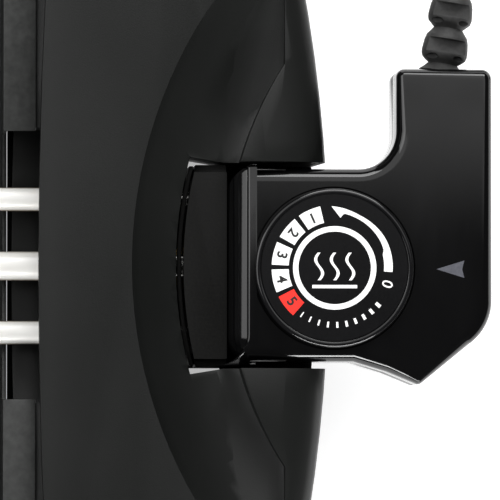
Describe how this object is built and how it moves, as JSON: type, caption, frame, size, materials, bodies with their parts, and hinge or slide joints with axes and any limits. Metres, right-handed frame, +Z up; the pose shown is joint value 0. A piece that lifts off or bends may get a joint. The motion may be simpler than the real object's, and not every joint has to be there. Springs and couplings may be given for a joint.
{
  "type": "electric table grill",
  "caption": "Electric table grill with a lift-off wire grid over a heating element and drip tray, and a plug-in thermostat controller with a rotary dial and mains cord.",
  "frame": {"origin": "on the table, under the middle of the grill with its controller plugged in", "axes": "+X along the housing towards the controller, +Y towards the side that the cord leaves, +Z up"},
  "size_m": [0.6325, 0.3733, 0.0846],
  "materials": {
    "housing": "fine-grained matte black heat resistant plastic",
    "rubber": "black rubber",
    "tray": "dark grey enamelled sheet steel",
    "sheet_steel": "zinc plated sheet steel",
    "heater_steel": "bright annealed stainless sheath, slightly tinted",
    "ceramic": "off-white insulating ceramic",
    "pin_steel": "nickel plated",
    "brass_contact": "plain brass",
    "screw_steel": "zinc plated",
    "grid_chrome": "bright chrome plated wire",
    "case_gloss": "high gloss black plastic",
    "nose_matte": "matte phenolic moulding",
    "bimetal": "rolled bimetal",
    "spring_bronze": "spring bronze",
    "natural_nylon": "natural nylon",
    "lead_insulation": "brown wire insulation",
    "pointer_grey": "grey printed mark",
    "relief_rubber": "dark matte rubber",
    "dial_gloss": "gloss black plastic",
    "dial_print": "satin black printed disc with white and red scale",
    "cord_rubber": "black rubber sheath",
    "tie_plastic": "black coated wire tie",
    "plug_plastic": "moulded black plug"
  },
  "bodies": {
    "base": {"base_shell": "housing", "feet": "rubber", "drip_tray": "tray", "element_rest": "sheet_steel", "heating_element": "heater_steel", "probe_tube": "heater_steel", "terminal_bracket": "sheet_steel", "terminal_bushes": "ceramic", "terminal_pins": "pin_steel", "earth_blade": "brass_contact", "bracket_screws": "screw_steel", "socket_floor": "nose_matte"},
    "grid": {"grill_grid": "grid_chrome", "grid_handles": "grid_chrome"},
    "controller": {"top_shell": "case_gloss", "bottom_shell": "case_gloss", "collar": "case_gloss", "nose_block": "nose_matte", "probe": "pin_steel", "contact_sleeves": "brass_contact", "earth_clip": "brass_contact", "mechanism_plate": "sheet_steel", "bimetal_strip": "bimetal", "contact_spring": "spring_bronze", "contact_rivets": "screw_steel", "cam_follower": "natural_nylon", "cord_clamp": "nose_matte", "inner_leads": "lead_insulation", "shell_screws": "screw_steel", "pointer_mark": "pointer_grey", "strain_relief": "relief_rubber", "mains_cord": "cord_rubber", "cord_coil": "cord_rubber", "cord_tie": "tie_plastic", "plug_lead": "cord_rubber", "plug_body": "plug_plastic", "plug_pins": "pin_steel", "plug_sleeve": "plug_plastic"},
    "dial": {"dial_knob": "dial_gloss", "dial_disc": "dial_print", "dial_spindle": "natural_nylon", "dial_clip": "screw_steel"}
  },
  "joints": [
    {"name": "grid_lift", "type": "slide", "parent": "base", "child": "grid", "axis": [0, 0, 1], "range_m": [0, 0.08]},
    {"name": "controller_pull", "type": "slide", "parent": "base", "child": "controller", "axis": [1, 0, 0], "range_m": [0, 0.07]},
    {"name": "dial_turn", "type": "hinge", "parent": "controller", "child": "dial", "pos_m": [0.21995, -0.0009, 0.064], "axis": [0, 0, 1], "range_deg": [-218, 17]}
  ]
}
